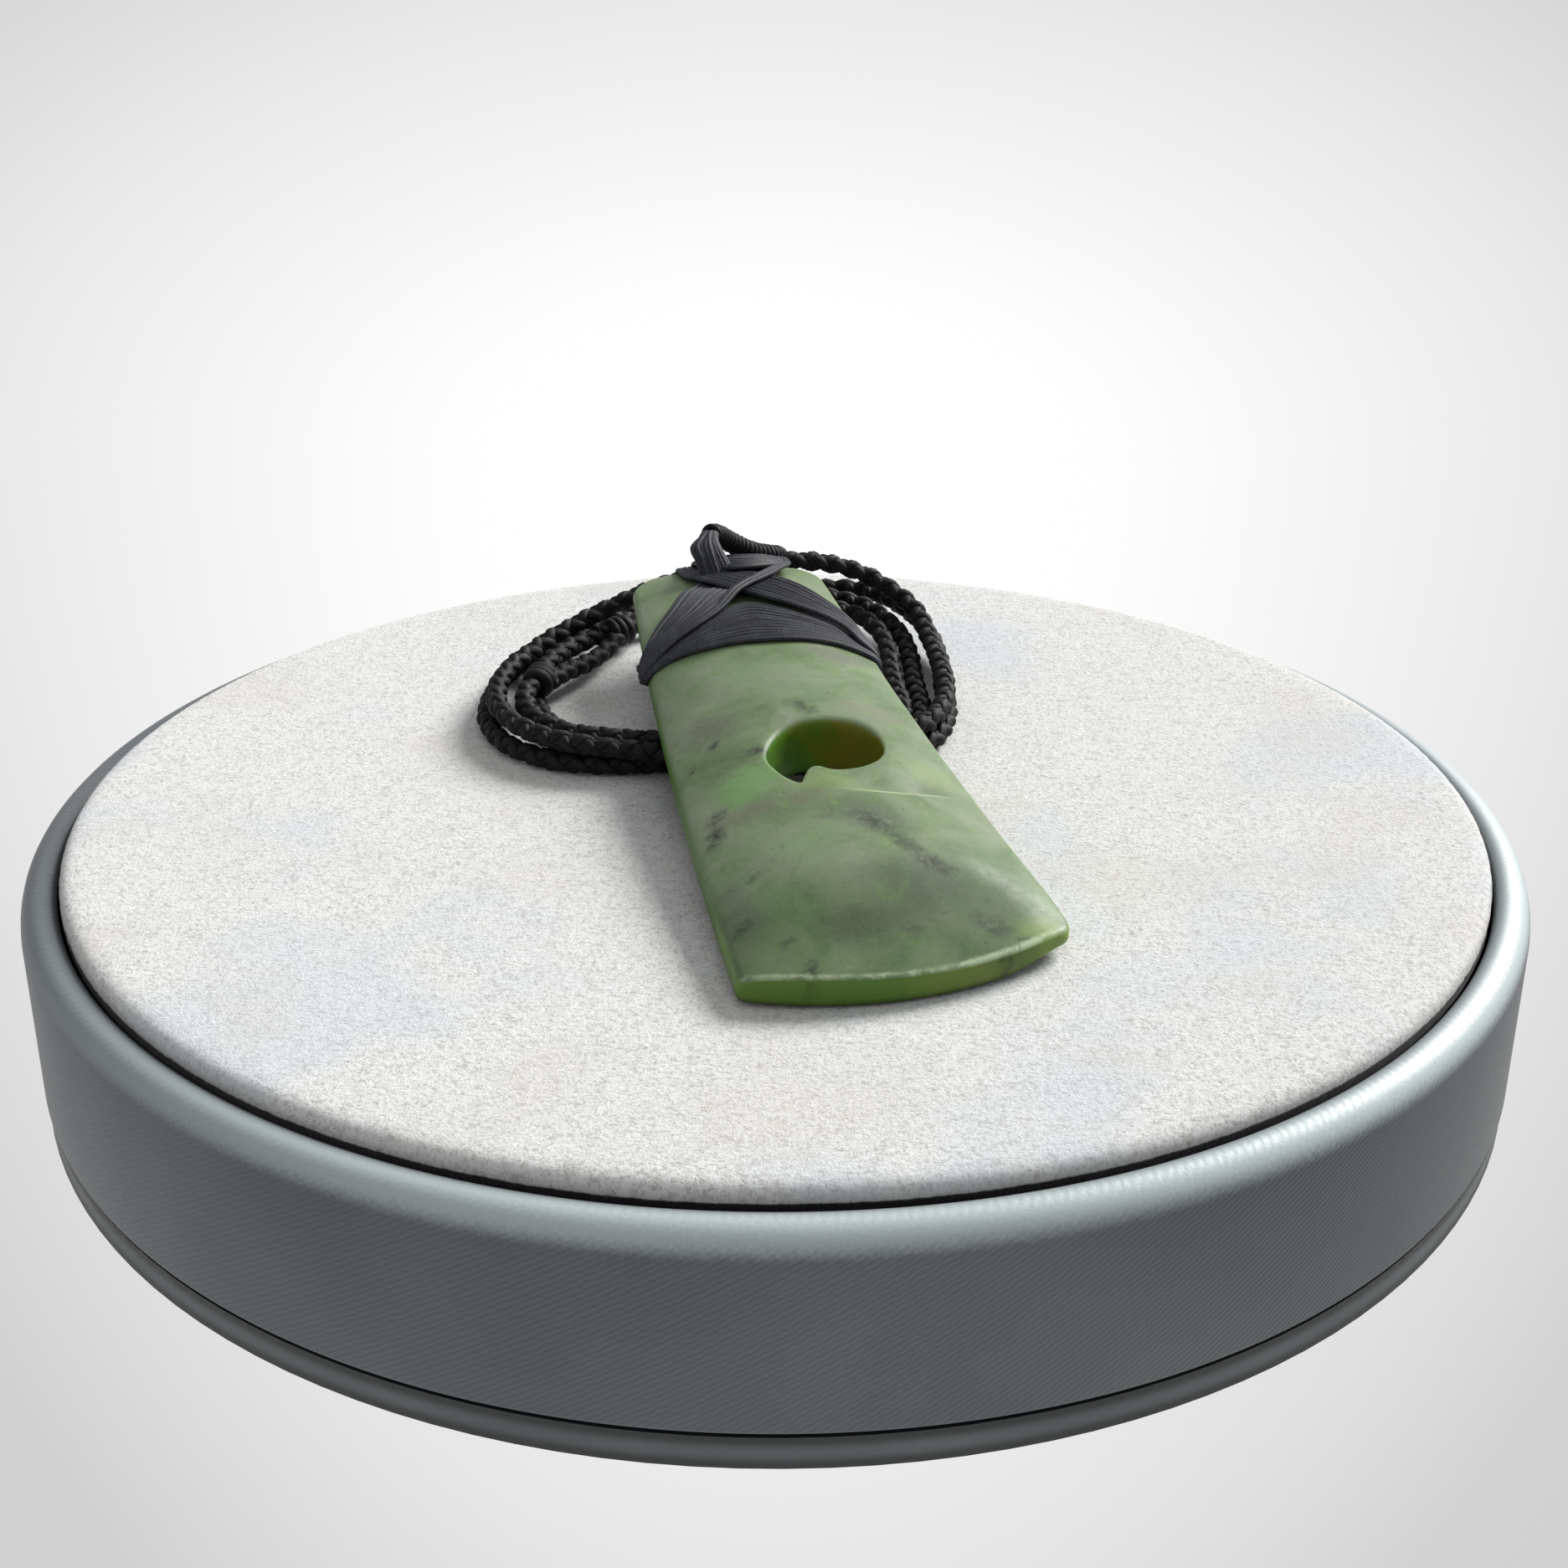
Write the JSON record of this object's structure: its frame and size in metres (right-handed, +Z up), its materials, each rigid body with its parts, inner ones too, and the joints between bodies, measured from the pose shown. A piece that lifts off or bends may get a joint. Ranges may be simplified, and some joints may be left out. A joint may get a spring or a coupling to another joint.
{
  "type": "toki adze pendant on a round display stand",
  "caption": "Carved greenstone adze-blade pendant, lashed to a bail on a braided neck cord, lying on a low round padded display stand.",
  "frame": {"origin": "centre of the stand's underside, on the surface it stands on", "axes": "+Z up through the stand's middle; +Y away from the viewer, from the blade's cutting edge towards its lashed end; +X to the viewer's right"},
  "size_m": [0.15, 0.15, 0.0402],
  "materials": {
    "greenstone": "satin polish, mottled sage green with dark specks",
    "lashing": "waxed charcoal thread laid side by side",
    "cord": "black waxed round braid",
    "stand_pad": "pale grey suede with a short mottled nap",
    "stand_wrap": "blue-grey leatherette with a fine diagonal grain",
    "stand_base": "matt dark grey board"
  },
  "bodies": {
    "root": {"stand_base": "stand_base", "stand_drum": "stand_wrap", "stand_pad": "stand_pad", "toki_blade": "greenstone", "lashing_band": "lashing", "lashing_cross_under": "lashing", "lashing_cross_over": "lashing", "lashing_head": "lashing", "lashing_bail": "lashing", "cord_span": "cord", "cord_coil": "cord", "sliding_knot_a": "cord", "sliding_knot_b": "cord"}
  },
  "joints": []
}
